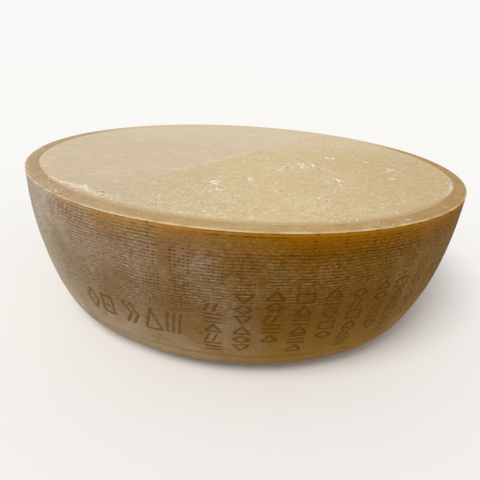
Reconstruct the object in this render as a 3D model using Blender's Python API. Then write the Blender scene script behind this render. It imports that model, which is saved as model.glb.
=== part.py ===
"""Half of a parmesan wheel, cut across at mid height and lying on its flat rind face with the cut face up.

One solid: the rind and the paste are one piece of cheese. Units are metres, +Z is up, and the origin is the
centre of the flat face that the cheese rests on.
"""

import math

import bmesh
import bpy
from mathutils import Vector, noise

# The wheel. The cut runs through the widest part of the rind, so the side starts upright at the cut.
RIM_RADIUS = 0.210
RIM_HEIGHT = 0.128
BELLY_DROP = 0.0267
BELLY_POWER = 2.4
CORNER_RADIUS = 0.030

# The cut face. The rind was scored all round with a knife, and the paste inside then broke away roughly.
RIND_BAND = 0.013
STEP_RUN = 0.0025
PASTE_RADIUS = RIM_RADIUS - RIND_BAND - STEP_RUN
PASTE_RISE = 0.0007
CREASE_POINT = (-0.003, 0.0045)
CREASE_ANGLE = math.radians(55.6)
CREASE_DROP = 0.0012
CREASE_RAMP = 0.007

# Relief that a hand would feel: broken paste, crumbs at its edge, and a rind that isn't quite round.
CRAG_HEIGHT = 0.0009
CRAG_SIZE = 0.024
CRUMB_HEIGHT = 0.0011
CRUMB_SIZE = 0.009
CRUMB_BAND = 0.014
CRUMB_LEAST = 0.25
RIND_LUMP = 0.0007
RIND_LUMP_SIZE = 0.055
CORNER_LUMP = 0.0012
LUMP_FADE = 0.025
BASE_FADE = 0.006

# Where crumbs stand on the paste's edge, as (from, to) in degrees round the wheel, and how softly each arc ends.
CRUMB_ARCS = ((-150, -102), (-52, -12))
CRUMB_ARC_FADE = 12

# Places where a flake came away, as (x, y, reach, depth).
TORN_PATCHES = (
    (0.062, -0.036, 0.024, 0.0010),
    (0.077, -0.082, 0.018, 0.0008),
    (-0.023, -0.128, 0.022, 0.0009),
    (0.028, -0.056, 0.012, 0.0006),
    (-0.060, 0.105, 0.026, 0.0009),
    (0.105, 0.088, 0.022, 0.0008),
)

# How finely the solid is divided.
PASTE_CELLS = 40
SIDE_ROWS = 9
CORNER_ROWS = 6

# Two heights this close, in metres, are the same, and a crease sharper than this angle shows as an edge.
NEAR_ENOUGH = 1e-6
SHARP_ANGLE = math.radians(40)

CHEESE_COLOUR = (0.72, 0.55, 0.30, 1.0)
CHEESE_ROUGHNESS = 0.55


def clear_scene():
    for old in list(bpy.data.objects):
        bpy.data.objects.remove(old)


def smooth_step(low, high, value):
    share = min(1.0, max(0.0, (value - low) / (high - low)))
    return share * share * (3 - 2 * share)


def side_radius(depth):
    """The rind's radius at a depth below the cut face, above the rounded corner."""
    return RIM_RADIUS - BELLY_DROP * (depth / RIM_HEIGHT) ** BELLY_POWER


def side_lean(depth):
    """How far the side leans in from upright at that depth, in radians."""
    share = depth / RIM_HEIGHT
    return math.atan(BELLY_DROP * BELLY_POWER / RIM_HEIGHT * share ** (BELLY_POWER - 1))


def corner_start():
    """The depth at which the round corner meets the side, so that the two share a tangent."""
    depth = RIM_HEIGHT - CORNER_RADIUS
    for _ in range(12):
        depth = RIM_HEIGHT - CORNER_RADIUS * (1 - math.sin(side_lean(depth)))
    return depth


def rings():
    """(radius, height) of each ring from the paste's edge out, down the rind and round the corner below."""
    points = [(PASTE_RADIUS + STEP_RUN, RIM_HEIGHT), (RIM_RADIUS - RIND_BAND / 3, RIM_HEIGHT)]
    deepest = corner_start()
    points += [
        (side_radius(deepest * row / SIDE_ROWS), RIM_HEIGHT - deepest * row / SIDE_ROWS)
        for row in range(SIDE_ROWS + 1)
    ]
    lean = side_lean(deepest)
    middle = side_radius(deepest) - CORNER_RADIUS * math.cos(lean)
    for row in range(1, CORNER_ROWS + 1):
        turn = lean + (math.pi / 2 - lean) * row / CORNER_ROWS
        points.append((middle + CORNER_RADIUS * math.cos(turn), CORNER_RADIUS * (1 - math.sin(turn))))
    return points


def round_grid(body, radius):
    """A square grid pulled to a disc at the cut's height, so that its squares stay about the same size."""
    bmesh.ops.create_grid(body, x_segments=PASTE_CELLS, y_segments=PASTE_CELLS, size=1.0)
    for vert in body.verts:
        across, along = (math.sqrt(2) * math.sin(math.pi / 4 * value) for value in vert.co.xy)
        vert.co.x = radius * across * math.sqrt(1 - along**2 / 2)
        vert.co.y = radius * along * math.sqrt(1 - across**2 / 2)
        vert.co.z = RIM_HEIGHT


def widen_to_body():
    """The disc of paste, with its edge drawn out over the rim, down the rind and closed by the flat base."""
    body = bmesh.new()
    round_grid(body, PASTE_RADIUS)
    edge = [side for side in body.edges if side.is_boundary]
    for radius, height in rings():
        drawn = bmesh.ops.extrude_edge_only(body, edges=edge)["geom"]
        edge = [item for item in drawn if isinstance(item, bmesh.types.BMEdge) and item.is_boundary]
        for vert in {vert for side in edge for vert in side.verts}:
            share = radius / math.hypot(*vert.co.xy)
            vert.co = (vert.co.x * share, vert.co.y * share, height)
    bmesh.ops.contextual_create(body, geom=edge)
    bmesh.ops.recalc_face_normals(body, faces=body.faces)
    return body


def crumb_share(angle):
    """1 along the arcs where crumbs stand on the paste's edge, and CRUMB_LEAST elsewhere."""
    degrees = math.degrees(angle)
    inside = max(
        smooth_step(low, low + CRUMB_ARC_FADE, degrees) * smooth_step(high, high - CRUMB_ARC_FADE, degrees)
        for low, high in CRUMB_ARCS
    )
    return CRUMB_LEAST + (1 - CRUMB_LEAST) * inside


def paste_height(x, y):
    """How far the broken paste stands above the rind's cut band."""
    across = (x - CREASE_POINT[0]) * math.sin(CREASE_ANGLE) - (y - CREASE_POINT[1]) * math.cos(CREASE_ANGLE)
    height = PASTE_RISE - CREASE_DROP * smooth_step(-CREASE_RAMP, CREASE_RAMP, across)
    height += CRAG_HEIGHT * noise.noise(Vector((x, y, 0.0)) / CRAG_SIZE)
    for patch_x, patch_y, reach, depth in TORN_PATCHES:
        away = math.hypot(x - patch_x, y - patch_y)
        height -= depth * (1 - smooth_step(0, reach, away))
    return height


def roughen_paste(vert):
    """The broken paste, with a crumbly rise where it meets the rind's band."""
    x, y = vert.co.xy
    radius = math.hypot(x, y)
    if radius > PASTE_RADIUS + STEP_RUN / 2:
        return
    edge = smooth_step(PASTE_RADIUS - CRUMB_BAND, PASTE_RADIUS, radius)
    crumbs = (1 + noise.noise(Vector((x, y, 0.0)) / CRUMB_SIZE)) / 2
    vert.co.z += paste_height(x, y) + edge * crumb_share(math.atan2(y, x)) * CRUMB_HEIGHT * crumbs


def unsettle_rind(vert):
    """Slow lumps over the side, more of them at the corner that the wheel was turned on."""
    x, y, z = vert.co
    depth = RIM_HEIGHT - z
    reach = RIND_LUMP * smooth_step(0, LUMP_FADE, depth)
    reach += CORNER_LUMP * smooth_step(corner_start() - LUMP_FADE, corner_start() + LUMP_FADE, depth)
    reach *= smooth_step(0, BASE_FADE, z)
    push = reach * noise.noise(vert.co / RIND_LUMP_SIZE)
    radius = math.hypot(x, y)
    vert.co.x += push * x / radius
    vert.co.y += push * y / radius


def centre_on_axis(body):
    """Puts the middle of the body's box on the axis."""
    for axis in (0, 1):
        ends = [vert.co[axis] for vert in body.verts]
        shift = (min(ends) + max(ends)) / 2
        for vert in body.verts:
            vert.co[axis] -= shift


def cheese_material():
    material = bpy.data.materials.new("aged cheese")
    material.use_nodes = True
    shader = material.node_tree.nodes["Principled BSDF"]
    shader.inputs["Base Color"].default_value = CHEESE_COLOUR
    shader.inputs["Roughness"].default_value = CHEESE_ROUGHNESS
    shader.inputs["Metallic"].default_value = 0.0
    return material


def build_half_wheel():
    body = widen_to_body()
    for vert in body.verts:
        on_cut_face = vert.co.z > RIM_HEIGHT - NEAR_ENOUGH
        on_flat_base = vert.co.z < NEAR_ENOUGH
        if on_cut_face:
            roughen_paste(vert)
        elif not on_flat_base:
            unsettle_rind(vert)
    centre_on_axis(body)
    mesh = bpy.data.meshes.new("half_wheel")
    body.to_mesh(mesh)
    body.free()
    mesh.materials.append(cheese_material())
    mesh.shade_smooth()
    mesh.set_sharp_from_angle(angle=SHARP_ANGLE)
    wheel = bpy.data.objects.new("half_wheel", mesh)
    bpy.context.scene.collection.objects.link(wheel)
    return wheel


clear_scene()
build_half_wheel()
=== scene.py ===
import math
import random

import bmesh
import bpy
import numpy as np
from mathutils import Matrix, Vector, noise


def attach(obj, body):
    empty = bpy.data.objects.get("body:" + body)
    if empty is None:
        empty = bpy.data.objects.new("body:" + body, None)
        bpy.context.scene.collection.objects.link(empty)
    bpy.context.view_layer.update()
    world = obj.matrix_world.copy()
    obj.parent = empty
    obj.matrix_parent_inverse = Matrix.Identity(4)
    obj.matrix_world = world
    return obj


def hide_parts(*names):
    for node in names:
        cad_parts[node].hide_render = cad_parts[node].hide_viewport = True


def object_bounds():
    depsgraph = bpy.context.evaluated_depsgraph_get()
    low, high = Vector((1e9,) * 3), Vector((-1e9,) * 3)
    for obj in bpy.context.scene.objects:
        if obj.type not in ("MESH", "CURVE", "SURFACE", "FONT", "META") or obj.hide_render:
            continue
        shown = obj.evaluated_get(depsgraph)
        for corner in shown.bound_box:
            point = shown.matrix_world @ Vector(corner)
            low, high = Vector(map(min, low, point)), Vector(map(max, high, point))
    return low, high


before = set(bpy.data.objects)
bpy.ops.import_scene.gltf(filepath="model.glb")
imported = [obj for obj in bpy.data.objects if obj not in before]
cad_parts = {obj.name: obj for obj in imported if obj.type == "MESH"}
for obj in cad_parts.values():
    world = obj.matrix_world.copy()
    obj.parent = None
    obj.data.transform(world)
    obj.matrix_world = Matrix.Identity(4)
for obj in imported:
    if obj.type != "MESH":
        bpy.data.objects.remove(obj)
cadLow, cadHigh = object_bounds()

# all lengths are in metres, and angles in degrees run round the wheel from +X

# the shape of the half wheel, which every piece follows
wheel = {
    "rimRadius": 0.210,
    "rimHeight": 0.128,
    "bellyDrop": 0.0267,
    "bellyPower": 2.4,
    "cornerRadius": 0.030,
    "rindLump": 0.0007,
    "rindLumpSize": 0.055,
    "cornerLump": 0.0012,
    "lumpFade": 0.025,
    "baseFade": 0.006,
    "topLimit": cadHigh[2] - 0.00002,
}


def smoothStep(low, high, value):
    share = np.clip((value - low) / (high - low), 0, 1)
    return share * share * (3 - 2 * share)


def sideRadius(depth):
    return wheel["rimRadius"] - wheel["bellyDrop"] * (depth / wheel["rimHeight"]) ** wheel["bellyPower"]


def sideLean(depth):
    share = depth / wheel["rimHeight"]
    slope = wheel["bellyDrop"] * wheel["bellyPower"] / wheel["rimHeight"]
    return math.atan(slope * share ** (wheel["bellyPower"] - 1))


def cornerStart():
    # the depth at which the round corner meets the side on a shared tangent
    depth = wheel["rimHeight"] - wheel["cornerRadius"]
    for _ in range(12):
        depth = wheel["rimHeight"] - wheel["cornerRadius"] * (1 - math.sin(sideLean(depth)))
    return depth


cornerDepth = cornerStart()


def rindPush(x, y, z):
    # the slow lumps of a rind that isn't quite round
    depth = wheel["rimHeight"] - z
    fade = wheel["lumpFade"]
    reach = wheel["rindLump"] * smoothStep(0, fade, depth)
    reach += wheel["cornerLump"] * smoothStep(cornerDepth - fade, cornerDepth + fade, depth)
    reach *= smoothStep(0, wheel["baseFade"], z)
    return reach * noise.noise(Vector((x, y, z)) / wheel["rindLumpSize"])


def rindPoint(azimuth, depth, sunk=0.0):
    # a point on the rind's side, or a little under it
    angle = math.radians(azimuth)
    radius = sideRadius(depth) - sunk
    z = wheel["rimHeight"] - depth
    x, y = radius * math.cos(angle), radius * math.sin(angle)
    share = 1 + rindPush(x, y, z) / radius
    return x * share, y * share, z


class Wire:
    # a number that runs through a node tree, so masks and sizes are written as sums
    def __init__(self, tree, socket):
        self.tree = tree
        self.socket = socket

    def maths(self, operation, *others):
        return self.tree.maths(operation, self, *others)

    def __add__(self, other):
        return self.maths("ADD", other)

    def __radd__(self, other):
        return self.tree.maths("ADD", other, self)

    def __sub__(self, other):
        return self.maths("SUBTRACT", other)

    def __rsub__(self, other):
        return self.tree.maths("SUBTRACT", other, self)

    def __mul__(self, other):
        return self.maths("MULTIPLY", other)

    def __rmul__(self, other):
        return self.tree.maths("MULTIPLY", other, self)

    def __truediv__(self, other):
        return self.maths("DIVIDE", other)

    def __rtruediv__(self, other):
        return self.tree.maths("DIVIDE", other, self)


class Tree:
    # writes nodes into a shader or geometry tree
    def __init__(self, nodeTree):
        self.nodeTree = nodeTree

    def feed(self, socket, value):
        if isinstance(value, Wire):
            value = value.socket
        if isinstance(value, bpy.types.NodeSocket):
            self.nodeTree.links.new(value, socket)
        elif value is not None:
            socket.default_value = value

    def node(self, kind, settings=None, inputs=None):
        made = self.nodeTree.nodes.new(kind)
        for name, value in (settings or {}).items():
            setattr(made, name, value)
        return self.fill(made, inputs or {})

    def fill(self, made, inputs):
        for name, value in inputs.items():
            self.feed(made.inputs[name], value)
        return made

    def wire(self, made, output=0):
        return Wire(self, made.outputs[output])

    def maths(self, operation, *values):
        made = self.node("ShaderNodeMath", {"operation": operation}, dict(enumerate(values)))
        return self.wire(made)

    def smooth(self, value, low, high):
        made = self.node(
            "ShaderNodeMapRange",
            {"interpolation_type": "SMOOTHSTEP"},
            {"Value": value, "From Min": low, "From Max": high},
        )
        return self.wire(made)

    def split(self, vector):
        made = self.node("ShaderNodeSeparateXYZ", inputs={0: vector})
        return [self.wire(made, axis) for axis in range(3)]

    def noise(self, vector, size, detail=2.0, roughness=0.5, squeeze=None):
        # the noise's own number, near 0.5 on average, with features about as wide as size
        if squeeze:
            inputs = {0: vector, 1: squeeze}
            vector = self.node("ShaderNodeVectorMath", {"operation": "MULTIPLY"}, inputs).outputs[0]
        made = self.node(
            "ShaderNodeTexNoise",
            inputs={"Vector": vector, "Scale": 1 / size, "Detail": detail, "Roughness": roughness},
        )
        return self.wire(made)

    def mix(self, factor, first, second):
        made = self.node("ShaderNodeMix", {"data_type": "RGBA"}, {0: factor})
        self.feed(made.inputs[6], (*first, 1) if isinstance(first, tuple) else first)
        self.feed(made.inputs[7], (*second, 1) if isinstance(second, tuple) else second)
        return made.outputs[2]

    def layers(self, body, colours, *steps):
        # lays tones over one another, each by its share and given by name or as a socket
        for share, tone in steps:
            body = self.mix(share, body, colours[tone] if isinstance(tone, str) else tone)
        return body

    def attribute(self, name):
        made = self.node("ShaderNodeAttribute", {"attribute_name": name})
        return self.wire(made, "Fac")

    def ramp(self, value, stops):
        made = self.node("ShaderNodeValToRGB", inputs={0: value})
        elements = made.color_ramp.elements
        elements.remove(elements[0])
        for number, (place, colour) in enumerate(stops):
            stop = elements[0] if number == 0 else elements.new(place)
            stop.position = place
            stop.color = (*colour, 1)
        return made.outputs[0]


class GeometryTree(Tree):
    # a modifier's tree with named inputs, from the mesh that it is put on
    def __init__(self, name, sizes):
        super().__init__(bpy.data.node_groups.new(name, "GeometryNodeTree"))
        face = self.nodeTree.interface
        face.new_socket("Geometry", in_out="INPUT", socket_type="NodeSocketGeometry")
        for label, value in sizes.items():
            kind = "NodeSocketInt" if isinstance(value, int) else "NodeSocketFloat"
            face.new_socket(label, in_out="INPUT", socket_type=kind).default_value = value
        face.new_socket("Geometry", in_out="OUTPUT", socket_type="NodeSocketGeometry")
        self.sizes = sizes
        self.start = self.node("NodeGroupInput")
        self.host = self.start.outputs["Geometry"]
        self.place = self.node("GeometryNodeInputPosition").outputs[0]

    def size(self, label):
        return self.wire(self.start, label)

    def named(self, name):
        made = self.node("GeometryNodeInputNamedAttribute", {"data_type": "FLOAT"}, {"Name": name})
        return self.wire(made)

    def vector(self, x, y, z):
        return self.node("ShaderNodeCombineXYZ", inputs={0: x, 1: y, 2: z}).outputs[0]

    def movedTo(self, geometry, place):
        inputs = {"Geometry": geometry, "Position": place}
        return self.node("GeometryNodeSetPosition", inputs=inputs).outputs[0]

    def vectorMaths(self, operation, first, second):
        return self.node("ShaderNodeVectorMath", {"operation": operation}, {0: first, 1: second}).outputs[0]

    def scaled(self, vector, amount):
        inputs = {0: vector, "Scale": amount}
        return self.node("ShaderNodeVectorMath", {"operation": "SCALE"}, inputs).outputs[0]

    def close(self, geometry, material):
        plain = self.node("GeometryNodeRealizeInstances", inputs={"Geometry": geometry})
        inputs = {"Geometry": plain.outputs[0], "Material": material}
        painted = self.node("GeometryNodeSetMaterial", inputs=inputs)
        end = self.node("NodeGroupOutput")
        self.feed(end.inputs[0], painted.outputs[0])

    def applyTo(self, host, name):
        # sets each input by its identifier, and turns the evaluated result into a plain mesh
        modifier = host.modifiers.new(self.nodeTree.name, "NODES")
        modifier.node_group = self.nodeTree
        for item in self.nodeTree.interface.items_tree:
            if item.in_out == "INPUT" and item.name in self.sizes:
                modifier[item.identifier] = self.sizes[item.name]
        depsgraph = bpy.context.evaluated_depsgraph_get()
        mesh = bpy.data.meshes.new_from_object(host.evaluated_get(depsgraph))
        host.modifiers.remove(modifier)
        mesh.name = name
        mesh.shade_smooth()
        return newObject(name, mesh)


def newMaterial(name):
    material = bpy.data.materials.new(name)
    material.use_nodes = True
    return material, Tree(material.node_tree), material.node_tree.nodes["Principled BSDF"]


def objectPlace(tree):
    return tree.node("ShaderNodeTexCoord").outputs["Object"]


def newObject(name, mesh):
    made = bpy.data.objects.new(name, mesh)
    bpy.context.scene.collection.objects.link(made)
    return made


def addNumbers(mesh, name, values):
    layer = mesh.attributes.new(name, "FLOAT", "POINT")
    layer.data.foreach_set("value", np.asarray(values, dtype=np.float32).ravel())


# the rind: its shell and the marks that the mould left in it

rind = {
    "meshColumns": 896,
    "ridgePitch": 0.0024,
    "ridgedTo": 0.1056,
    "thickness": 0.013,
    "innerRadius": 0.1968,
    "narrowBy": 0.0034,
    "narrowFrom": (0.78, 0.97),
    "edgeBreak": 0.0006,
    "wander": 0.0008,
    "turnWander": 0.0020,
    "wanderSize": 0.018,
    "wanderStart": (0.002, 0.008),
    "wanderEnd": (0.100, 0.106),
    "longLineDepth": 0.0156,
    "cornerRows": 15,
    "baseShares": (0.86, 0.68, 0.48, 0.28, 0.10),
}

# columns of pricked figures: dots near the cut, thin lines further down
pricks = {
    "columns": 63,
    "firstAzimuth": -88.8,
    "crowding": 1.2,
    "startDepth": 0.0150,
    "tickDepths": (0.0012, 0.0060, 0.0084, 0.0108),
    "tickGaps": ((-134, -120), (-101, -81)),
    "dotsTo": 0.060,
    "fewerDots": 0.024,
    "fewerDotsArc": (-104, -86),
    "dotReach": 0.62,
    "dotsMissing": 0.12,
    "lineEdge": (0.05, 0.50),
    "wornLeft": 0.24,
    "wornLeftArc": (-94, -114),
    "wornRight": 0.22,
    "wornRightArc": (-66, -46),
    "longEnd": 0.1020,
    "shortEnd": 0.0885,
    "aboveStamp": 0.0650,
    "stampArc": (-150.0, -98.5),
    "seed": 12,
}

# generic figures, as lines on a lattice of pins 5 wide and 4 high
pinFigures = [
    [[(2, 0), (4, 1.5), (2, 3), (0, 1.5), (2, 0)]],
    [[(0, 3), (2, 0), (4, 3), (0, 3)]],
    [[(0, 0), (4, 0), (4, 3), (0, 3), (0, 0)]],
    [[(0, 0), (4, 0), (2, 3), (0, 0)]],
    [[(0, 0), (4, 0)], [(0, 1.5), (4, 1.5)], [(0, 3), (4, 3)]],
    [[(0, 3), (1, 0)], [(2, 3), (3, 0)]],
]


def lineDistance(x, y, start, end):
    ax, ay = start
    bx, by = end
    length = max((bx - ax) ** 2 + (by - ay) ** 2, 1e-12)
    share = np.clip(((x - ax) * (bx - ax) + (y - ay) * (by - ay)) / length, 0, 1)
    return np.hypot(x - ax - share * (bx - ax), y - ay - share * (by - ay))


def figureDistances(figure):
    # how far each spot of a figure's place is from its lines, on a lattice twice as fine as the pins
    down, across = np.mgrid[0:7, 0:9] / 2
    pairs = [pair for line in figure for pair in zip(line, line[1:])]
    return np.min([lineDistance(across, down, *pair) for pair in pairs], axis=0)


def columnCentre(number):
    # the mould's columns stand a little wider apart on the left than on the right
    turned = 360 * number / pricks["columns"]
    return pricks["firstAzimuth"] + turned - pricks["crowding"] * (1 - math.cos(2 * math.radians(turned)))


def prickFigure(pins, row, middle, away, dotted, strength, dice):
    # one figure, as separate dots of uneven depth and width or as lines, cut off where the columns start
    total = rind["meshColumns"]
    first = round(pricks["startDepth"] / (rind["ridgePitch"] / 2)) - 1
    for down in range(max(0, first - row), 7):
        for across in range(9):
            spot = (middle + across - 4) % total
            gap = away[down, across]
            onPin = down % 2 == 0 and across % 2 == 0 and gap < pricks["dotReach"]
            if not dotted:
                pins[row + down, spot] = strength * (1 - smoothStep(*pricks["lineEdge"], gap))
            elif onPin and dice.random() > pricks["dotsMissing"]:
                depth = strength * (0.60 + 0.40 * dice.random())
                pins[row + down, spot] = depth
                pins[row + down, (spot + dice.choice((-1, 1))) % total] = depth * 0.55 * dice.random()


def pinLattice(rows):
    # how deep each point of the side is pricked
    total = rind["meshColumns"]
    pins = np.zeros((rows, total))
    dice = random.Random(pricks["seed"])
    rowStep = rind["ridgePitch"] / 2
    figures = [figureDistances(figure) for figure in pinFigures]
    for number in range(pricks["columns"]):
        centre = columnCentre(number)
        middle = round((centre + 180) / 360 * total)
        azimuth = (centre + 180) % 360 - 180
        lowest = pricks["shortEnd"] if number % 2 else pricks["longEnd"]
        if pricks["stampArc"][0] < azimuth < pricks["stampArc"][1]:
            lowest = pricks["aboveStamp"]
        dotsTo = pricks["dotsTo"] - pricks["fewerDots"] * smoothStep(*pricks["fewerDotsArc"], azimuth)
        worn = 1 - pricks["wornLeft"] * smoothStep(*pricks["wornLeftArc"], azimuth)
        if azimuth < 0:
            worn -= pricks["wornRight"] * smoothStep(*pricks["wornRightArc"], azimuth)
        row = 2 * round(lowest / rowStep / 2) - 8
        turn = dice.randrange(len(figures))
        while (row + 7) * rowStep > pricks["startDepth"]:
            strength = (0.85 + 0.15 * dice.random()) * worn
            dotted = row * rowStep < dotsTo
            prickFigure(pins, row, middle, figures[turn % len(figures)], dotted, strength, dice)
            row -= 8
            turn += 1 + dice.randrange(3)
        if not any(low < azimuth < high for low, high in pricks["tickGaps"]):
            for depth in pricks["tickDepths"]:
                pins[round(depth / rowStep) - 1, middle % total] = (0.75 + 0.25 * dice.random()) * worn
    return pins


# the burnt stamp: generic figures low on the front, each at its azimuth, as lines in units of the height
stamp = {
    "top": 0.0690,
    "height": 0.0200,
    "lineWidth": 0.0024,
    "figures": [
        (-124.2, [[(0.0, 0.5), (0.28, 0.0), (0.56, 0.5), (0.28, 1.0), (0.0, 0.5)]]),
        (-119.6, [[(0.0, 0.08), (0.5, 0.08), (0.5, 0.92), (0.0, 0.92), (0.0, 0.08)]]),
        (-119.6, [[(0.25, 0.44), (0.25, 0.56)]]),
        (-113.6, [[(0.0, 0.0), (0.3, 0.5), (0.0, 1.0)], [(0.3, 0.0), (0.6, 0.5), (0.3, 1.0)]]),
        (-109.0, [[(0.0, 1.0), (0.34, 0.0), (0.68, 1.0), (0.0, 1.0)]]),
        (-104.2, [[(0.0, 1.0), (0.16, 0.0)], [(0.24, 1.0), (0.40, 0.0)], [(0.48, 1.0), (0.64, 0.0)]]),
    ],
}


def nearestLine(azimuths, depths, lines):
    # how far each spot of the side is from the nearest line, each given as (azimuth, start, end)
    nearest = np.full(np.broadcast(azimuths, depths).shape, 1.0)
    for azimuth, start, end in lines:
        across = np.radians(azimuths - azimuth) * wheel["rimRadius"]
        nearest = np.minimum(nearest, lineDistance(across, depths, start, end))
    return nearest


def stampShare(azimuths, depths):
    # 1 in the stamp's lines, falling to 0 at their edges
    top, size, width = stamp["top"], stamp["height"], stamp["lineWidth"]
    lines = [
        (azimuth, (ax * size, top + ay * size), (bx * size, top + by * size))
        for azimuth, figure in stamp["figures"]
        for line in figure
        for (ax, ay), (bx, by) in zip(line, line[1:])
    ]
    return 1 - smoothStep(width * 0.225, width * 0.75, nearestLine(azimuths, depths, lines))


# a short row of slanting strokes cut into the rind under the rim on the left
scratches = {
    "from": -132.5,
    "to": -120.5,
    "count": 9,
    "top": 0.0046,
    "bottom": 0.0132,
    "lean": 0.0016,
    "width": 0.0011,
}


def scratchShare(azimuths, depths):
    lean, width = scratches["lean"], scratches["width"]
    ends = ((lean, scratches["top"]), (-lean, scratches["bottom"]))
    places = np.linspace(scratches["from"], scratches["to"], scratches["count"])
    nearest = nearestLine(azimuths, depths, [(place, *ends) for place in places])
    return 1 - smoothStep(width * 0.4, width * 1.6, nearest)


# a row of small raised outlines that stands in a shallow panel under the rim, at the front
raisedRow = {
    "from": -99.2,
    "to": -83.4,
    "middle": 0.0095,
    "height": 0.0070,
    "width": 0.0056,
    "sunk": 0.00080,
    "count": 10,
    "points": 24,
}


def panelShare(azimuths, depths):
    reach = raisedRow["width"] * 0.62
    across = np.radians(azimuths - (raisedRow["from"] + raisedRow["to"]) / 2) * wheel["rimRadius"]
    half = math.radians(raisedRow["to"] - raisedRow["from"]) / 2 * wheel["rimRadius"] + reach
    inside = 1 - smoothStep(half, half + 0.002, np.abs(across))
    tall = raisedRow["height"] * 0.60
    return inside * (1 - smoothStep(tall, tall + 0.002, np.abs(depths - raisedRow["middle"])))


def rindRings():
    # (radius, height, points) from the inner edge of the cut band, out, down and in under the base
    columns = rind["meshColumns"]
    top, rim, inner = wheel["rimHeight"], wheel["rimRadius"], rind["innerRadius"]
    rings = [(inner - 0.0020, top - 0.0030, columns // 4), (inner - 0.0007, top - 0.0010, columns // 2)]
    rings += [(inner + 0.0002, top - 0.00025, columns), (inner + 0.0020, top, columns)]
    rings += [(inner + 0.0055, top, columns), (inner + 0.0090, top, columns)]
    rings += [(rim - rind["edgeBreak"], top, columns), (rim - 0.00012, top - 0.00035, columns)]
    rows = round(rind["ridgedTo"] / (rind["ridgePitch"] / 2))
    firstRow = len(rings)
    for row in range(1, rows + 1):
        depth = row * rind["ridgePitch"] / 2
        rings.append((sideRadius(depth), top - depth, columns))
    lean = sideLean(cornerDepth)
    radius = wheel["cornerRadius"]
    middle = sideRadius(cornerDepth) - radius * math.cos(lean)
    steps = rind["cornerRows"]
    below = rind["ridgedTo"] + rind["ridgePitch"] / 2
    rings.append((sideRadius(below), top - below, columns // 2))
    for step in range(steps + 1):
        turn = lean + (math.pi / 2 - lean) * step / steps
        across, height = middle + radius * math.cos(turn), radius * (1 - math.sin(turn))
        rings.append((across, height, columns // 2 if step < steps else columns // 4))
    for share in rind["baseShares"]:
        rings.append((middle * share, 0.0, columns // 4))
    return rings, firstRow, rows


def joinRings(mesh, outer, inner, layer=0):
    # faces between two rings, of which the second may have half as many points, or twice as many
    many, few = (outer, inner) if len(outer) >= len(inner) else (inner, outer)
    ratio = len(many) // len(few)
    for number in range(len(few)):
        first = number * ratio
        loop = [many[(first + step) % len(many)] for step in range(ratio + 1)]
        loop += [few[(number + 1) % len(few)], few[number]]
        if ratio == 1 and (number + layer) % 2:
            # every other face starts at its next corner, so that no dot leans
            loop = loop[1:] + loop[:1]
        mesh.faces.new(loop)


def bandGain(x, radius):
    # how much further out the paste reaches at the two sides, where the cut band is narrower
    return rind["narrowBy"] * smoothStep(*rind["narrowFrom"], np.abs(x) / np.maximum(radius, 0.001))


def addRing(body, radius, height, count):
    # on the side the rings and columns wander a little, as the mould's do
    ring = []
    depth = wheel["rimHeight"] - height
    onTop = depth < 0.0035
    loose = 0.0
    if count == rind["meshColumns"]:
        loose = smoothStep(*rind["wanderStart"], depth) * (1 - smoothStep(*rind["wanderEnd"], depth))
    for number in range(count):
        angle = 2 * math.pi * number / count - math.pi
        x, y, z = radius * math.cos(angle), radius * math.sin(angle), height
        if loose > 0:
            angle += rind["turnWander"] * loose * noise.noise(Vector((x, y, z + 1)) / rind["wanderSize"])
            z += rind["wander"] * loose * noise.noise(Vector((x, y, z)) / rind["wanderSize"])
            x, y = radius * math.cos(angle), radius * math.sin(angle)
        share = 1 + rindPush(x, y, z) / radius if radius > rind["innerRadius"] / 2 else 1.0
        if onTop:
            share += bandGain(x, radius) * (1 - smoothStep(0.197, 0.207, radius)) / radius
        ring.append(body.verts.new((x * share, y * share, z)))
    return ring


def markSide(mesh, total, start, rows):
    # what the mould and the stamp left, as numbers on the points of the side
    columns = rind["meshColumns"]
    azimuths = np.degrees(2 * np.pi * np.arange(columns) / columns - np.pi)[None, :]
    depths = (np.arange(1, rows + 1) * rind["ridgePitch"] / 2)[:, None]
    stamped = stampShare(azimuths, depths)
    scratched = scratchShare(azimuths, depths)
    panel = panelShare(azimuths, depths)
    pins = pinLattice(rows)
    groove = np.zeros((rows, columns))
    groove[0::2, :] = 1
    groove *= 1 - smoothStep(rind["ridgedTo"] - 0.004, rind["ridgedTo"], depths)
    groove *= (1 - 0.8 * stamped) * (1 - 0.4 * panel)
    for name, values in (
        ("pins", pins * (1 - smoothStep(0.02, 0.4, stamped)) * (1 - scratched)),
        ("groove", groove),
        ("stamped", stamped),
        ("scratched", scratched),
        ("panel", panel),
    ):
        everywhere = np.zeros(total)
        everywhere[start : start + rows * columns] = values.ravel()
        addNumbers(mesh, name, everywhere)


# where loose crumbs lie on the cut band, as (from, to, weight)
rimCrumbArcs = ((-156, -126, 1.0), (-126, -20, 0.05))


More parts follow.
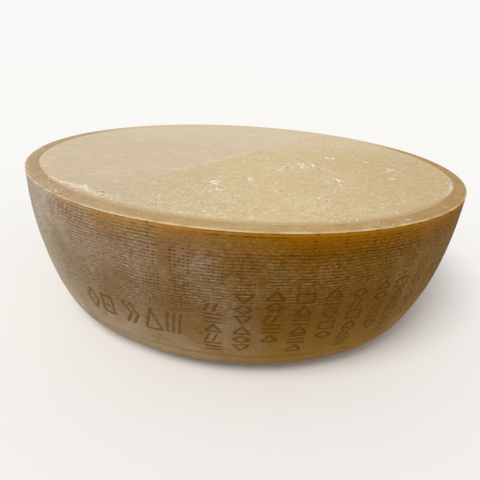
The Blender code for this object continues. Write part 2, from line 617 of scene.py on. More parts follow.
def buildRindShell():
    rings, firstRow, rows = rindRings()
    columns = rind["meshColumns"]
    body = bmesh.new()
    layers = [addRing(body, *ring) for ring in rings]
    floor, wall = rind["thickness"], rind["innerRadius"] - 0.0020
    inside = ((0.006, floor), (0.150, floor), (0.172, floor + 0.012), (wall, 0.075))
    layers += [addRing(body, radius, height, columns // 4) for radius, height in inside]
    base = len(rings)
    for number in range(len(layers) - 1):
        if number != base - 1:
            joinRings(body, layers[number], layers[number + 1], number)
    body.faces.new(layers[base - 1])
    body.faces.new(layers[base])
    joinRings(body, layers[-1], layers[0])
    body.verts.index_update()
    bmesh.ops.recalc_face_normals(body, faces=body.faces)
    starts = np.cumsum([0] + [len(layer) for layer in layers])
    mesh = bpy.data.meshes.new("rind shell")
    body.to_mesh(mesh)
    body.free()
    markSide(mesh, starts[-1], starts[firstRow], rows)
    azimuths = np.degrees(2 * np.pi * np.arange(columns) / columns - np.pi)
    weight = np.zeros(starts[-1])
    for low, high, amount in rimCrumbArcs:
        inArc = amount * ((azimuths > low) & (azimuths < high))
        for ring, share in ((firstRow - 4, 0.4), (firstRow - 3, 0.5), (firstRow - 2, 1.0)):
            weight[starts[ring] : starts[ring + 1]] += share * inArc
    addNumbers(mesh, "rimWeight", weight)
    return newObject("rind_shell", mesh)


rindRelief = {
    "Ridge Depth": 0.00028,
    "Weave Size": 0.0042,
    "Pin Depth": 0.00045,
    "Stamp Depth": 0.0010,
    "Scratch Depth": 0.0004,
    "Panel Depth": 0.00042,
    "Wear Size": 0.030,
    "Pebble Height": 0.00026,
    "Pebble Size": 0.0045,
}


def reliefTree(material):
    # sinks ridges, pins and stamp into the side, and pebbles the whole rind a little
    tree = GeometryTree("rind relief", rindRelief)
    normal = tree.node("GeometryNodeInputNormal").outputs[0]
    z = tree.split(tree.place)[2]
    kept = tree.smooth(tree.noise(tree.place, tree.size("Wear Size"), 3.0), 0.32, 0.55)
    woven = tree.smooth(tree.noise(tree.place, tree.size("Weave Size"), 2.0, 0.6), 0.40, 0.58)
    sink = tree.named("groove") * tree.size("Ridge Depth") * (0.3 + 0.7 * kept) * (0.3 + 0.7 * woven)
    for mark, label in (("pins", "Pin"), ("stamped", "Stamp"), ("scratched", "Scratch"), ("panel", "Panel")):
        sink = sink + tree.named(mark) * tree.size(f"{label} Depth")
    onBand = tree.smooth(z, wheel["rimHeight"] - 0.0012, wheel["rimHeight"] - 0.0002)
    pebble = tree.noise(tree.place, tree.size("Pebble Size"), 2.0)
    sink = sink + pebble * tree.size("Pebble Height") * (1 - 0.45 * onBand)
    offBase = tree.smooth(z, 0.0, 0.004)
    push = tree.scaled(normal, sink * offBase * -1)
    moved = tree.movedTo(tree.host, tree.vectorMaths("ADD", tree.place, push))
    tree.close(moved, material)
    return tree


# the rind's own tones by depth under the cut, and what lies on it
rindTones = (
    (0.000, (0.378, 0.161, 0.005)),
    (0.0015, (0.348, 0.138, 0.002)),
    (0.005, (0.250, 0.089, 0.001)),
    (0.014, (0.170, 0.063, 0.001)),
    (0.030, (0.160, 0.073, 0.009)),
    (0.060, (0.152, 0.068, 0.008)),
    (0.075, (0.178, 0.086, 0.012)),
    (0.097, (0.220, 0.114, 0.020)),
    (0.112, (0.275, 0.155, 0.038)),
    (0.128, (0.290, 0.175, 0.058)),
)

rindColours = {
    "bloom": (0.440, 0.372, 0.292),
    "goldBloom": (0.400, 0.305, 0.118),
    # pale dusty tones, plain and gold, which on the ridge crests also serve as a painted highlight
    "dustAndHighlight": (0.470, 0.385, 0.250),
    "goldDustAndHighlight": (0.305, 0.160, 0.004),
    # a dark tone: painted shade in the ridge grooves, and also dark specks and the scratches
    "groove": (0.062, 0.030, 0.002),
    "pin": (0.080, 0.037, 0.002),
    "stroke": (0.106, 0.043, 0.003),
    "burn": (0.128, 0.065, 0.013),
    "stain": (0.300, 0.125, 0.008),
    "band": (0.475, 0.318, 0.145),
    "bandGrey": (0.448, 0.325, 0.202),
    "bandRight": (0.398, 0.252, 0.100),
    "bandBack": (0.650, 0.520, 0.340),
    # a pale tone for streaks and specks on the band, also used as a painted highlight along its outer edge
    "bandEdge": (0.700, 0.555, 0.355),
    "mark": (0.185, 0.088, 0.009),
    "markLight": (0.240, 0.122, 0.018),
}


def bloomShare(tree, place, x, y, depth):
    # the grey bloom, thick on the left, thinner at the back, and in clouds elsewhere
    u = x / wheel["rimRadius"]
    left = 0.66 * (0.20 - u).maths("MAXIMUM", 0.0) + 0.33 * tree.smooth(u, -0.50, -0.80)
    belt = tree.smooth(depth, 0.030, 0.045) * (1 - tree.smooth(depth, 0.064, 0.094))
    left = left - 0.14 * belt * tree.smooth(u, -0.04, -0.26) * (1 - tree.smooth(u, -0.62, -0.88))
    left = left + 0.12 * tree.smooth(depth, 0.070, 0.095) * tree.smooth(u, 0.05, -0.60)
    left = left + 0.14 * (1 - tree.smooth(depth, 0.003, 0.012)) * tree.smooth(u, -0.40, -0.60)
    right = tree.smooth(u, 0.35, 0.75) * 0.18
    behind = tree.smooth(y / wheel["rimRadius"], 0.1, 0.9) * 0.30
    share = left + right + behind
    cloud = tree.noise(place, 0.030, 4.0, 0.62, (1.0, 1.0, 0.8)) - 0.5
    drip = tree.noise(place, 0.008, 2.0, 0.5, (1.0, 1.0, 0.25)) - 0.5
    amount = share + cloud * (0.55 + 1.3 * share) * (1 - 0.5 * belt) + drip * 0.8 * right - 0.02
    nearRim = (1 - tree.smooth(depth, 0.010, 0.026)) * (1 - 0.9 * tree.smooth(u, 0.40, 0.65))
    wiped = 0.45 * tree.smooth(u, -0.35, -0.05) + 0.50 * tree.smooth(u, -0.05, 0.20)
    return (amount * (1 - nearRim * wiped)).maths("MAXIMUM", 0.0).maths("MINIMUM", 1.0)


def bandColour(tree, place, radius, x, y):
    # the level ring that the knife cut through the rind, with a painted highlight along its outer edge
    rim = wheel["rimRadius"]
    streak = tree.noise(place, 0.012, 3.0, 0.6)
    speck = tree.noise(place, 0.0032, 3.0, 0.65)
    # a pale line along the outer edge, broken in places: a painted highlight
    edge = tree.smooth(radius, rim - 0.0014, rim - 0.0005) * (0.25 + 0.75 * tree.smooth(streak, 0.35, 0.60))
    return tree.layers(
        rindColours["band"],
        rindColours,
        (tree.smooth(x / rim, -0.10, -0.75), "bandGrey"),
        (tree.smooth(x / rim, 0.10, 0.70), "bandRight"),
        (tree.smooth(streak, 0.45, 0.75) * 0.22, "bandEdge"),
        ((1 - tree.smooth(streak, 0.25, 0.5)) * 0.40, "bandRight"),
        (tree.smooth(speck, 0.55, 0.67) * 0.30, "bandEdge"),
        (tree.smooth(speck, 0.45, 0.33) * 0.30, "bandRight"),
        (tree.smooth(y / rim, 0.25, 0.70), "bandBack"),
        # the painted highlight along the outer edge
        (edge * 0.75, "bandEdge"),
    )


def rindMaterial():
    material, tree, shader = newMaterial("cheese rind")
    place = objectPlace(tree)
    x, y, z = tree.split(place)
    height = wheel["rimHeight"]
    depth = height - z
    u = x / wheel["rimRadius"]
    colours = rindColours
    mottle = tree.noise(place, 0.030, 4.0, 0.6)
    fine = tree.noise(place, 0.0034, 3.0, 0.6, (1.0, 1.0, 2.5))
    dash = tree.noise(place, 0.0018, 2.0, 0.6, (0.55, 0.55, 1.6))
    shifted = depth + (mottle - 0.5) * 0.016 * tree.smooth(depth, 0.002, 0.012)
    golden = 1 - tree.smooth(shifted, 0.004, 0.022)
    bloom = bloomShare(tree, place, x, y, depth)
    warm = (golden * tree.smooth(u, -0.60, -0.30) * 0.75).maths("MAXIMUM", tree.smooth(u, 0.10, 0.45))
    atFront = golden * tree.smooth(u, -0.05, 0.25) * (1 - tree.smooth(u, 0.42, 0.62))
    bloomTone = tree.layers(colours["bloom"], colours, (warm, "goldBloom"), (atFront * 0.85, "goldDustAndHighlight"))
    # ridges: painted shade in thin broken lines in the grooves, and dust and painted highlight in short
    # dashes on the crests, both worn away low down
    groove = tree.smooth(tree.attribute("groove"), 0.25, 0.85)
    worn = tree.noise(place, 0.028, 3.0, squeeze=(1.0, 1.0, 0.7))
    ridged = (1 - 0.75 * tree.smooth(depth, 0.050, 0.085)) * (0.35 + 0.65 * tree.smooth(worn, 0.38, 0.58))
    lines = tree.noise(place, 0.009, 1.0, squeeze=(0.10, 0.10, 5.0))
    lined = tree.smooth(lines, 0.52, 0.64) * (0.14 + 0.50 * golden)
    lined = lined * (0.5 + 0.5 * tree.smooth(u, -0.55, -0.15)) * (1 - 0.6 * tree.smooth(u, 0.45, 0.75))
    # a long line of painted groove shade at one depth across the front
    longLine = 1 - tree.smooth((depth - rind["longLineDepth"]).maths("ABSOLUTE"), 0.0008, 0.0018)
    lined = lined + 0.55 * longLine * tree.smooth(u, 0.00, 0.12) * (1 - tree.smooth(u, 0.48, 0.70))
    broken = tree.smooth(dash, 0.60, 0.42)
    lined = lined * tree.smooth(depth, 0.0020, 0.0045) * (0.5 + 0.5 * broken)
    plain = golden * tree.smooth(u, -0.42, -0.14)
    plain = plain.maths("MAXIMUM", (1 - tree.smooth(bloom, 0.0, 0.25)) * (0.7 + 0.3 * golden))
    plain = plain.maths("MAXIMUM", warm * (0.5 + 0.4 * golden))
    dustAndHighlight = tree.mix(plain, colours["dustAndHighlight"], colours["goldDustAndHighlight"])
    crest = (1 - groove) * ridged * tree.smooth(dash, 0.49, 0.60)
    # pricked dots, which are flatter on the crests, and strokes
    low = tree.smooth(depth, 0.034, 0.062)
    flat = 1 - 0.35 * (1 - tree.attribute("groove")) * (1 - low)
    pins = tree.attribute("pins") * flat * (0.70 + 0.6 * dash)
    pins = tree.smooth(pins, 0.16 + 0.07 * low, 0.44 + 0.10 * low)
    pinColour = tree.mix(low, colours["pin"], colours["stroke"])
    stamped = tree.smooth(tree.attribute("stamped"), 0.20, 0.75)
    # the line where the ridges end, with an orange stain in places
    edge = 1 - tree.smooth((depth - rind["ridgedTo"]).maths("ABSOLUTE"), 0.0006, 0.0020)
    soaked = tree.noise(place, 0.020, 2.0, squeeze=(1.0, 1.0, 0.2))
    stained = edge * tree.smooth(soaked, 0.44, 0.62) * (1 - bloom).maths("POWER", 2.0)
    rings = tree.noise(place, 0.008, 2.0, squeeze=(0.08, 0.08, 4.0))
    ringed = tree.smooth(depth, 0.104, 0.110) * tree.smooth(rings, 0.5, 0.66)
    radius = (x * x + y * y).maths("SQRT")
    onBand = tree.smooth(z, height - 0.0010, height - 0.0005)
    body = tree.layers(
        tree.ramp(shifted / height, [(at / height, colour) for at, colour in rindTones]),
        colours,
        (bloom, bloomTone),
        # painted shade in the ridge grooves
        (groove * ridged * (0.06 + 0.38 * broken + lined), "groove"),
        # dust and a painted highlight on the ridge crests
        (crest * (0.34 + 0.20 * bloom + 0.10 * golden), dustAndHighlight),
        ((1 - tree.smooth(fine, 0.30, 0.50)) * 0.36, "groove"),
        (tree.smooth(fine, 0.58, 0.72) * 0.22, dustAndHighlight),
        (pins * (0.78 + 0.06 * low - 0.62 * bloom), pinColour),
        (stamped * (0.72 + 0.5 * (fine - 0.5)), "burn"),
        (tree.attribute("scratched") * 0.22, "groove"),
        (edge * 0.35 * (1 - bloom), "stroke"),
        (stained * 0.75, "stain"),
        (ringed * 0.24, "stroke"),
        (onBand, bandColour(tree, place, radius, x, y)),
    )
    relief = fine * 0.8 + dash * 0.5 * (1 - onBand)
    bump = tree.node("ShaderNodeBump", inputs={"Strength": 0.4, "Distance": 0.0006, "Height": relief})
    roughness = 0.52 + 0.16 * bloom + 0.10 * fine
    tree.fill(shader, {"Base Color": body, "Roughness": roughness, "Normal": bump.outputs[0]})
    tree.fill(shader, {"Specular IOR Level": 0.015})
    return material


def makePiece(tree, host, name):
    # the tree's result on a host that isn't needed afterwards
    piece = tree.applyTo(host, name)
    bpy.data.objects.remove(host)
    return piece


outlineSizes = {"Thickness": 0.00058, "Round": 6}


def buildOutlines():
    # closed lines of edges with rounded corners: diamonds, and boxes that have a small diamond inside
    places, edges = [], []
    points = raisedRow["points"]
    step = (raisedRow["to"] - raisedRow["from"]) / (raisedRow["count"] - 1)
    for number in range(raisedRow["count"]):
        centre = raisedRow["from"] + step * number
        shapes = ((0, 1.0),) if number % 2 == 0 else ((math.pi / 4, 1.20), (0, 0.42))
        for turn, size in shapes:
            first = len(places)
            for point in range(points):
                angle = 2 * math.pi * point / points
                off = (angle + turn) % (math.pi / 2) - math.pi / 4
                reach = size * (math.cos(math.pi / 4) / math.cos(off)) ** 0.8
                across = raisedRow["width"] / 2 * reach * math.sin(angle)
                down = -raisedRow["height"] / 2 * reach * math.cos(angle)
                azimuth = centre + math.degrees(across / wheel["rimRadius"])
                places.append(rindPoint(azimuth, raisedRow["middle"] + down, raisedRow["sunk"]))
                edges.append((first + point, first + (point + 1) % points))
    mesh = bpy.data.meshes.new("outline lines")
    mesh.from_pydata(places, edges, [])
    return newObject("outline_lines", mesh)


def markMaterial():
    material, tree, shader = newMaterial("raised marks")
    place = objectPlace(tree)
    tone = tree.noise(place, 0.006, 3.0, 0.6)
    pale = tree.smooth(tree.split(place)[0], 0.02, -0.05)
    light = tree.smooth(tone, 0.35, 0.65)
    body = tree.layers(rindColours["mark"], rindColours, (light, "markLight"), (pale * 0.18, "bloom"))
    tree.fill(shader, {"Base Color": body, "Roughness": 0.5 + 0.2 * tone, "Specular IOR Level": 0.015})
    return material


def outlineTree(material):
    tree = GeometryTree("raised outlines", outlineSizes)
    curve = tree.node("GeometryNodeMeshToCurve", inputs={"Mesh": tree.host})
    inputs = {"Resolution": tree.size("Round"), "Radius": tree.size("Thickness")}
    ring = tree.node("GeometryNodeCurvePrimitiveCircle", inputs=inputs)
    inputs = {"Curve": curve.outputs[0], "Profile Curve": ring.outputs[0]}
    tube = tree.node("GeometryNodeCurveToMesh", inputs=inputs)
    tree.close(tube.outputs[0], material)
    return tree


# the paste

paste = {
    "cells": 276,
    "edgeRadius": 0.1978,
    "rise": 0.0007,
    "creasePoint": (-0.003, 0.0045),
    "creaseAngle": 55.6,
    "creaseDrop": 0.0010,
    "creaseRamp": 0.0045,
    "cragHeight": 0.0008,
    "cragSize": 0.024,
    "ridgeRadius": 0.1955,
    "ridgeInward": 0.0070,
    "inwardArc": (-141, -124),
    "leftRidge": (-150, -112),
    "highRidge": (-137, -119),
    "wideRidge": (-138, -112),
    "rightRidge": (-41, -8),
    "clumpWaves": ((0.25, 1.9, 1.0), (0.20, 4.3, 0.0), (0.15, 9.1, 0.0)),
    "clumpDegrees": 57.3,
    "speckArc": (-128, -40),
    "tanArc": (-157, -28),
}

# places where a flake came away, as (x, y, reach, depth)
tornPatches = (
    (0.062, -0.036, 0.020, 0.0010),
    (0.077, -0.082, 0.016, 0.0008),
    (-0.023, -0.128, 0.018, 0.0009),
    (0.028, -0.056, 0.010, 0.0006),
    (-0.060, 0.105, 0.026, 0.0009),
    (0.105, 0.088, 0.022, 0.0008),
)

# where white flakes lie or stand up from the paste, as (x, y, spread)
flakeSpots = (
    (0.060, -0.035, 0.010),
    (0.073, -0.040, 0.006),
    (0.056, -0.026, 0.003),
    (0.030, -0.055, 0.004),
    (0.032, -0.050, 0.003),
    (-0.018, -0.041, 0.004),
    (-0.025, -0.112, 0.004),
    (-0.024, -0.129, 0.006),
    (0.011, -0.092, 0.004),
    (0.059, -0.142, 0.004),
    (0.147, -0.026, 0.005),
    (0.018, -0.010, 0.004),
    (0.077, -0.083, 0.006),
    (0.125, 0.000, 0.003),
    (0.092, 0.010, 0.003),
    (0.135, -0.065, 0.003),
    (0.003, -0.100, 0.003),
    (0.060, -0.105, 0.003),
)


def arcShare(azimuths, name, fade):
    # 1 along one of the paste's arcs, softly ending over fade degrees
    low, high = paste[name]
    return smoothStep(low, low + fade, azimuths) * (1 - smoothStep(high - fade, high, azimuths))


def creaseSide(x, y):
    # how far right of the crease a point is; the crease wanders a little
    px, py = paste["creasePoint"]
    angle = math.radians(paste["creaseAngle"])
    along = (x - px) * math.cos(angle) + (y - py) * math.sin(angle)
    wander = 0.0007 * np.sin(along / 0.021 + 0.7) + 0.0003 * np.sin(along / 0.0077)
    return (x - px) * math.sin(angle) - (y - py) * math.cos(angle) + wander


def patchShare(x, y):
    share = np.zeros_like(x)
    for px, py, reach, _ in tornPatches:
        share = np.maximum(share, 1 - smoothStep(0.2 * reach, reach, np.hypot(x - px, y - py)))
    return share


def pasteHeights(x, y, radius, azimuths, side):
    # the broken surface: two facets, torn patches and slow lumps, level with the band at its edge
    lift = paste["rise"] - paste["creaseDrop"] * smoothStep(-paste["creaseRamp"], paste["creaseRamp"], side)
    for px, py, reach, depth in tornPatches:
        lift -= 0.8 * depth * (1 - smoothStep(0, reach, np.hypot(x - px, y - py)))
    lumps = [noise.noise(Vector((a, b, 0.0)) / paste["cragSize"]) for a, b in zip(x, y)]
    lift += paste["cragHeight"] * np.array(lumps)
    edge = paste["edgeRadius"]
    lift *= 1 - smoothStep(edge - 0.011, edge - 0.002, radius)
    dip = 0.0008 - 0.0005 * arcShare(azimuths, "tanArc", 15)
    return wheel["rimHeight"] + lift - dip * smoothStep(edge - 0.0026, edge, radius)


def buildPastePlug():
    edgeRadius = paste["edgeRadius"]
    body = bmesh.new()
    bmesh.ops.create_grid(body, x_segments=paste["cells"], y_segments=paste["cells"], size=1.0)
    flat = np.array([vert.co.xy for vert in body.verts])
    across, along = (np.sqrt(2) * np.sin(np.pi / 4 * flat[:, axis]) for axis in (0, 1))
    x = edgeRadius * across * np.sqrt(1 - along**2 / 2)
    y = edgeRadius * along * np.sqrt(1 - across**2 / 2)
    radius = np.hypot(x, y)
    reach = 1 + bandGain(x, radius) * smoothStep(0.4, 1.0, radius / edgeRadius) / edgeRadius
    x, y = x * reach, y * reach
    azimuths = np.degrees(np.arctan2(y, x))
    side = creaseSide(x, y)
    z = pasteHeights(x, y, radius, azimuths, side)
    for vert, px, py, pz in zip(body.verts, x, y, z):
        vert.co = (px, py, pz)
    edge = [part for part in body.edges if part.is_boundary]
    for share, height in ((0.989, 0.100), (0.982, 0.070), (0.86, 0.026), (0.755, 0.0132)):
        drawn = bmesh.ops.extrude_edge_only(body, edges=edge)["geom"]
        edge = [item for item in drawn if isinstance(item, bmesh.types.BMEdge) and item.is_boundary]
        for vert in {vert for part in edge for vert in part.verts}:
            reach = edgeRadius * share / math.hypot(*vert.co.xy)
            vert.co = (vert.co.x * reach, vert.co.y * reach, height)
    bmesh.ops.contextual_create(body, geom=edge)
    bmesh.ops.recalc_face_normals(body, faces=body.faces)
    mesh = bpy.data.meshes.new("paste plug")
    body.to_mesh(mesh)
    body.free()
    markPaste(mesh, x, y, radius, azimuths, side)
    return newObject("paste_plug", mesh)


def markPaste(mesh, x, y, radius, azimuths, side):
    # where the paste is grainy, torn, crumbly or tanned, and how many crumbs lie on it
    edgeRadius = paste["edgeRadius"]
    toFront = smoothStep(-0.060, -0.150, y)
    blur = 0.0014 + 0.030 * toFront
    grainy = smoothStep(-blur, blur, side)
    creaseLine = np.exp(-((side / 0.0017) ** 2)) * (1 - toFront) * smoothStep(0.09, 0.02, y)
    patch = patchShare(x, y)
    # the clumps are placed with a rounded number of degrees to the radian
    turned = np.arctan2(y, x) * paste["clumpDegrees"]
    waves = [size * np.sin(turned * rate + start) for size, rate, start in paste["clumpWaves"]]
    clumps = 0.55 + np.sum(waves, axis=0)
    arcs = arcShare(azimuths, "leftRidge", 14) * (0.7 + 0.4 * clumps)
    arcs += 0.5 * arcShare(azimuths, "highRidge", 8)
    arcs += 0.8 * arcShare(azimuths, "rightRidge", 12) * clumps**2
    # the left ridge leaves the band and runs inward toward the front
    inward = smoothStep(*paste["inwardArc"], turned) * (turned < -60)
    middle = paste["ridgeRadius"] - paste["ridgeInward"] * inward
    reach = 0.0016 + 0.0015 * arcShare(azimuths, "wideRidge", 12)
    ridge = arcs * np.exp(-(((radius - middle) / reach) ** 2))
    onTop = 1 - smoothStep(edgeRadius - 0.0020, edgeRadius, radius)
    tanned = arcShare(azimuths, "tanArc", 15) * smoothStep(0.187, 0.200, radius)
    tanned = np.maximum(tanned, smoothStep(0.1945, 0.1972, radius))
    speckled = arcShare(azimuths, "speckArc", 20) * smoothStep(0.100, 0.176, radius) * (1 - 0.6 * tanned)
    pink = np.exp(-np.abs(side) / 0.075) * (1 - grainy) * (1 - 0.8 * toFront)
    flakes = 0.50 * ridge * smoothStep(-0.05, -0.09, x)
    for px, py, spread in flakeSpots:
        flakes += np.exp(-(((x - px) / spread / 1.4) ** 2) - ((y - py) / spread / 0.7) ** 2)
    weight = ridge + 0.10 * patch + 0.010 * grainy + 0.026 * speckled * (1 - 0.7 * tanned) + 0.003
    for name, values in (
        ("grainy", grainy),
        ("patch", patch),
        ("ridge", ridge),
        ("onTop", onTop),
        ("tanned", tanned),
        ("speckled", speckled * (0.4 + 0.6 * grainy)),
        ("creaseLine", creaseLine),
        ("pink", pink),
        ("crumbWeight", weight * onTop),
        ("flakeWeight", np.minimum(flakes, 1.0)),
    ):
        addNumbers(mesh, name, np.concatenate([values, np.zeros(len(mesh.vertices) - len(values))]))


pasteGrain = {
    "Grain Size": 0.0050,
    "Grain Height": 0.0014,
    "Fine Size": 0.0029,
    "Fine Height": 0.0006,
    "Smooth Share": 0.25,
    "Streak Height": 0.0004,
    "Streak Size": 0.0048,
    "Ridge Height": 0.0009,
    "Torn Height": 0.0006,
    "Top Limit": wheel["topLimit"] - 0.00030,
}


def grainTree(material):
    # the broken paste's grain, strongest right of the crease and along the crumbly edge
    tree = GeometryTree("paste grain", pasteGrain)
    x, y, z = tree.split(tree.place)
    grainy, ridge, patch = tree.named("grainy"), tree.named("ridge"), tree.named("patch")
    grain = tree.noise(tree.place, tree.size("Grain Size"), 2.0, 0.6) - 0.5
    fine = tree.noise(tree.place, tree.size("Fine Size"), 2.0, 0.6) - 0.5
    streak = tree.noise(tree.place, tree.size("Streak Size"), 1.0, squeeze=(0.22, 1.0, 1.0)) - 0.5
    share = tree.size("Smooth Share") + grainy * (1 - tree.size("Smooth Share"))
    share = share * (1 - 0.7 * tree.named("tanned"))
    rise = grain * tree.size("Grain Height") * share + fine * tree.size("Fine Height") * share
    rise = rise + streak * tree.size("Streak Height") * (1 - grainy)
    rise = rise + tree.smooth(grain + 0.5, 0.40, 0.62) * ridge * tree.size("Ridge Height")
    rise = rise + tree.smooth(fine + 0.5, 0.42, 0.62) * patch * tree.size("Torn Height")
    height = (z + rise * tree.named("onTop")).maths("MINIMUM", tree.size("Top Limit"))
    moved = tree.movedTo(tree.host, tree.vector(x, y, height))
    tree.close(moved, material)
    return tree


pasteColours = {
    "smooth": (0.575, 0.470, 0.315),
    "pink": (0.650, 0.475, 0.315),
    "grainy": (0.640, 0.500, 0.268),
    "left": (0.585, 0.465, 0.285),
    "right": (0.552, 0.402, 0.200),
    "far": (0.665, 0.550, 0.370),
    # a dark tone, also used as painted shade in the pits and between the granules
    "deep": (0.500, 0.365, 0.180),
    # the flecks' pale tone, also used as a painted highlight on the granules
    "fleckAndHighlight": (0.840, 0.740, 0.600),
    "tan": (0.505, 0.350, 0.180),
}


def pasteMaterial():
    material, tree, shader = newMaterial("cheese paste")
    place = objectPlace(tree)
    x, y, _ = tree.split(place)
    colours = pasteColours
    names = ("grainy", "ridge", "patch", "speckled", "pink", "creaseLine", "tanned")
    grainy, ridge, patch, speckled, pink, creaseLine, tanned = (tree.attribute(name) for name in names)
    smooth = 1 - grainy
    cloud = tree.noise(place, 0.040, 3.0, 0.55)
    grain = tree.noise(place, 0.0050, 3.0, 0.6)
    fine = tree.noise(place, 0.0018, 3.0, 0.6)
    across = tree.noise(place, 0.0026, 3.0, 0.65, (0.45, 1.0, 1.0))
    granule = tree.noise(place, 0.0030, 3.0, 0.6, (0.8, 1.0, 1.0))
    streak = tree.noise(place, 0.0040, 3.0, 0.65, (0.30, 1.0, 1.0))
    right, left = tree.smooth(x, 0.02, 0.17), tree.smooth(x, 0.00, -0.09)
    yellow = tree.layers(colours["grainy"], colours, (right, "right"), (left, "left"))
    lifted = across + 0.075 * patch + 0.035 * speckled + 0.015 * grainy
    # broad tones first, then painted shade in the pits, painted highlight and shade on the granules, and the
    # light flecks that lie mostly across the face
    body = tree.layers(
        colours["smooth"],
        colours,
        ((pink * (0.25 + 1.5 * cloud)).maths("MINIMUM", 1.0), "pink"),
        (grainy, yellow),
        (tree.smooth(y, 0.0, 0.12) * 0.7, "far"),
        (tree.smooth(y, 0.06, 0.12) * tree.smooth(cloud, 0.50, 0.64) * 0.5, "pink"),
        (tree.smooth(cloud, 0.62, 0.38) * 0.12, "deep"),
        # painted shade in the grain's pits
        ((1 - tree.smooth(grain, 0.34, 0.50)) * (0.10 + 0.30 * grainy), "deep"),
        # painted highlight on the granules, where their bump is high
        (tree.smooth(granule, 0.50, 0.66) * (0.06 + 0.18 * grainy), "fleckAndHighlight"),
        # painted shade between the granules, where their bump is low
        (tree.smooth(granule, 0.46, 0.32) * (0.05 + 0.25 * grainy), "deep"),
        (tree.smooth(streak, 0.54, 0.68) * smooth * 0.34, "fleckAndHighlight"),
        (tree.smooth(streak, 0.46, 0.34) * smooth * 0.20, "deep"),
        (creaseLine * tree.smooth(streak, 0.36, 0.58) * 0.5, "fleckAndHighlight"),
        (tree.smooth(lifted, 0.645, 0.70) * (0.35 + 0.4 * grainy), "fleckAndHighlight"),
        (tree.smooth(tanned + (grain - 0.5) * 0.7, 0.12, 0.85) * 0.92, "tan"),
        (ridge * tree.smooth(fine, 0.36, 0.56) * 0.85, "fleckAndHighlight"),
    )
    relief = fine * 0.5 + across * 0.4 + granule * (0.3 + 0.9 * grainy)
    bump = tree.node("ShaderNodeBump", inputs={"Strength": 0.6, "Distance": 0.0011, "Height": relief})
    roughness = 0.50 + 0.12 * grainy + 0.2 * (fine - 0.5)
    tree.fill(shader, {"Base Color": body, "Roughness": roughness, "Normal": bump.outputs[0]})
    tree.fill(shader, {"Specular IOR Level": 0.30, "Subsurface Weight": 0.10, "Subsurface Scale": 0.6})
    tree.fill(shader, {"Subsurface Radius": (0.006, 0.004, 0.002)})
    return material


# loose crumbs on the paste and the band, and the white flakes where the paste tore

crumbs = {
    "Density": 800000.0,
    "Least": 0.00035,
    "Most": 0.00085,
    "Longest": 1.5,
    "Flatness": 0.55,
    "Roughness": 0.00045,
    "Bump Size": 0.0012,
    "Top Limit": wheel["topLimit"] - 0.00010,
    "Detail": 1,
    "Seed": 7,
}

flakes = {
    "Density": 48000.0,
    "Least": 0.0008,
    "Most": 0.0021,
    "Longest": 3.2,
    "Flatness": 0.30,
    "Roughness": 0.0009,
    "Bump Size": 0.0022,
    "Top Limit": wheel["topLimit"],
    "Detail": 2,
    "Seed": 4,
}

rimCrumbs = {
    **crumbs,
    "Density": 90000.0,
    "Least": 0.00028,
    "Most": 0.00080,
    "Longest": 1.8,
    "Top Limit": wheel["topLimit"],
    "Seed": 15,
}


def randomNumber(tree, low, high, seed):
    made = tree.node("FunctionNodeRandomValue", {"data_type": "FLOAT"}, {2: low, 3: high, "Seed": seed})
    return tree.wire(made, 1)


def scatterTree(name, sizes, weight, material):
    # small rough lumps, as many as the host's weight asks for, lying flat on the surface
    tree = GeometryTree(name, sizes)
    points = tree.node(
        "GeometryNodeDistributePointsOnFaces",
        {"distribute_method": "RANDOM"},
        {"Mesh": tree.host, "Density": tree.named(weight) * tree.size("Density"), "Seed": tree.size("Seed")},
    )
    ball = tree.node("GeometryNodeMeshIcoSphere", inputs={"Subdivisions": tree.size("Detail")})
    spin = tree.node(
        "FunctionNodeRandomValue",
        {"data_type": "FLOAT_VECTOR"},
        {0: (-0.35, -0.35, 0.0), 1: (0.35, 0.35, 6.283), "Seed": 3},
    )
    reach = randomNumber(tree, tree.size("Least"), tree.size("Most"), 5)
    longer = randomNumber(tree, 0.8, tree.size("Longest"), 11)
    placed = tree.node(
        "GeometryNodeInstanceOnPoints",
        inputs={
            "Points": points.outputs[0],
            "Instance": ball.outputs[0],
            "Rotation": spin.outputs[0],
            "Scale": tree.vector(reach * longer, reach, reach * tree.size("Flatness")),
        },
    )
    plain = tree.node("GeometryNodeRealizeInstances", inputs={"Geometry": placed.outputs[0]})
    inputs = {"Vector": tree.place, "Scale": 1 / tree.size("Bump Size")}
    rough = tree.node("ShaderNodeTexNoise", inputs=inputs)
    away = tree.vectorMaths("SUBTRACT", rough.outputs[1], (0.5, 0.5, 0.5))
    shift = tree.scaled(away, tree.size("Roughness"))
    x, y, z = tree.split(tree.vectorMaths("ADD", tree.place, shift))
    under = tree.vector(x, y, z.maths("MINIMUM", tree.size("Top Limit")))
    tree.close(tree.movedTo(plain.outputs[0], under), material)
    return tree


def crumbMaterial():
    material, tree, shader = newMaterial("cheese crumb")
    place = objectPlace(tree)
    tone = tree.noise(place, 0.004, 2.0)
    body = tree.mix(tree.smooth(tone, 0.36, 0.56), pasteColours["far"], pasteColours["fleckAndHighlight"])
    tree.fill(shader, {"Base Color": body, "Roughness": 0.55 + 0.2 * tone, "Specular IOR Level": 0.3})
    return material


# the stage: floor, light and camera

stage = {
    "floorSize": 14.0,
    "floorColour": (0.90, 0.895, 0.885),
    "horizonLight": 0.95,
    "zenithLight": 0.42,
    "worldColour": (1.0, 0.995, 0.985),
    "sunFrom": (-0.30, -0.42, 0.86),
    "sunPower": 1.8,
    "sunSpread": 30,
    "sunColour": (1.0, 0.985, 0.96),
}

camera = {
    "place": (0.0, -0.42964, 0.21914),
    "lens": 30.455,
    "pitch": 23.8104,
    "yaw": -0.2246,
    "roll": 3.5064,
}


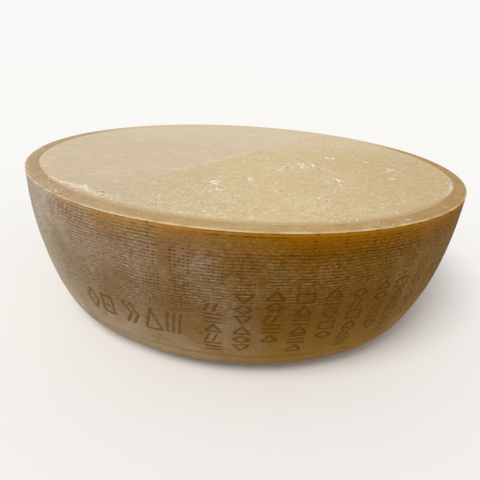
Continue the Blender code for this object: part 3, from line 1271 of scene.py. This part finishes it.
def makeFloor():
    bpy.ops.mesh.primitive_plane_add(size=stage["floorSize"])
    floor = bpy.context.object
    floor.name = "floor"
    material, tree, shader = newMaterial("pale floor")
    colour = (*stage["floorColour"], 1)
    tree.fill(shader, {"Base Color": colour, "Roughness": 0.9, "Specular IOR Level": 0.0})
    floor.data.materials.append(material)


def makeLight():
    # a pale surround, brighter round the horizon than overhead, and one wide soft sun
    world = bpy.data.worlds.new("studio")
    world.use_nodes = True
    tree = Tree(world.node_tree)
    up = tree.split(tree.node("ShaderNodeTexCoord").outputs["Generated"])[2]
    fall = stage["horizonLight"] - stage["zenithLight"]
    strength = stage["horizonLight"] - fall * tree.smooth(up, 0.30, 0.75)
    around = world.node_tree.nodes["Background"]
    tree.fill(around, {"Color": (*stage["worldColour"], 1), "Strength": strength})
    bpy.context.scene.world = world
    data = bpy.data.lights.new("soft sun", "SUN")
    data.energy = stage["sunPower"]
    data.angle = math.radians(stage["sunSpread"])
    data.color = stage["sunColour"]
    lamp = bpy.data.objects.new("soft sun", data)
    lamp.rotation_euler = (-Vector(stage["sunFrom"])).to_track_quat("-Z", "Y").to_euler()
    bpy.context.scene.collection.objects.link(lamp)


def makeCamera():
    data = bpy.data.cameras.new("camera")
    data.lens = camera["lens"]
    data.sensor_width = 36.0
    data.clip_start = 0.01
    body = bpy.data.objects.new("camera", data)
    bpy.context.scene.collection.objects.link(body)
    pitch, yaw, roll = (math.radians(camera[name]) for name in ("pitch", "yaw", "roll"))
    forward = Vector((math.sin(yaw) * math.cos(pitch), math.cos(yaw) * math.cos(pitch), -math.sin(pitch)))
    right = forward.cross(Vector((0, 0, 1))).normalized()
    up = right.cross(forward)
    right, up = (
        math.cos(roll) * right + math.sin(roll) * up,
        -math.sin(roll) * right + math.cos(roll) * up,
    )
    turn = Matrix((right, up, -forward)).transposed()
    body.matrix_world = Matrix.Translation(camera["place"]) @ turn.to_4x4()
    bpy.context.scene.camera = body


rindPiece = makePiece(reliefTree(rindMaterial()), buildRindShell(), "rind")
print("rind made:", len(rindPiece.data.polygons), "faces")
markPiece = makePiece(outlineTree(markMaterial()), buildOutlines(), "raised_marks")
print("raised marks made:", len(markPiece.data.polygons), "faces")
pastePiece = makePiece(grainTree(pasteMaterial()), buildPastePlug(), "paste")
print("paste made:", len(pastePiece.data.polygons), "faces")
crumbFinish = crumbMaterial()
scattered = []
for name, sizes, weight, host in (
    ("crumbs", crumbs, "crumbWeight", pastePiece),
    ("flakes", flakes, "flakeWeight", pastePiece),
    ("rim_crumbs", rimCrumbs, "rimWeight", rindPiece),
):
    scattered.append(scatterTree(name, sizes, weight, crumbFinish).applyTo(host, name))
    print(name, "made:", len(scattered[-1].data.polygons), "faces")

for piece in (rindPiece, markPiece, pastePiece, *scattered):
    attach(piece, "root")
for piece in (rindPiece, pastePiece):
    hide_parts("half_wheel")

makeFloor()
makeLight()
makeCamera()
bpy.context.scene.view_settings.view_transform = "Standard"
print("stage set")
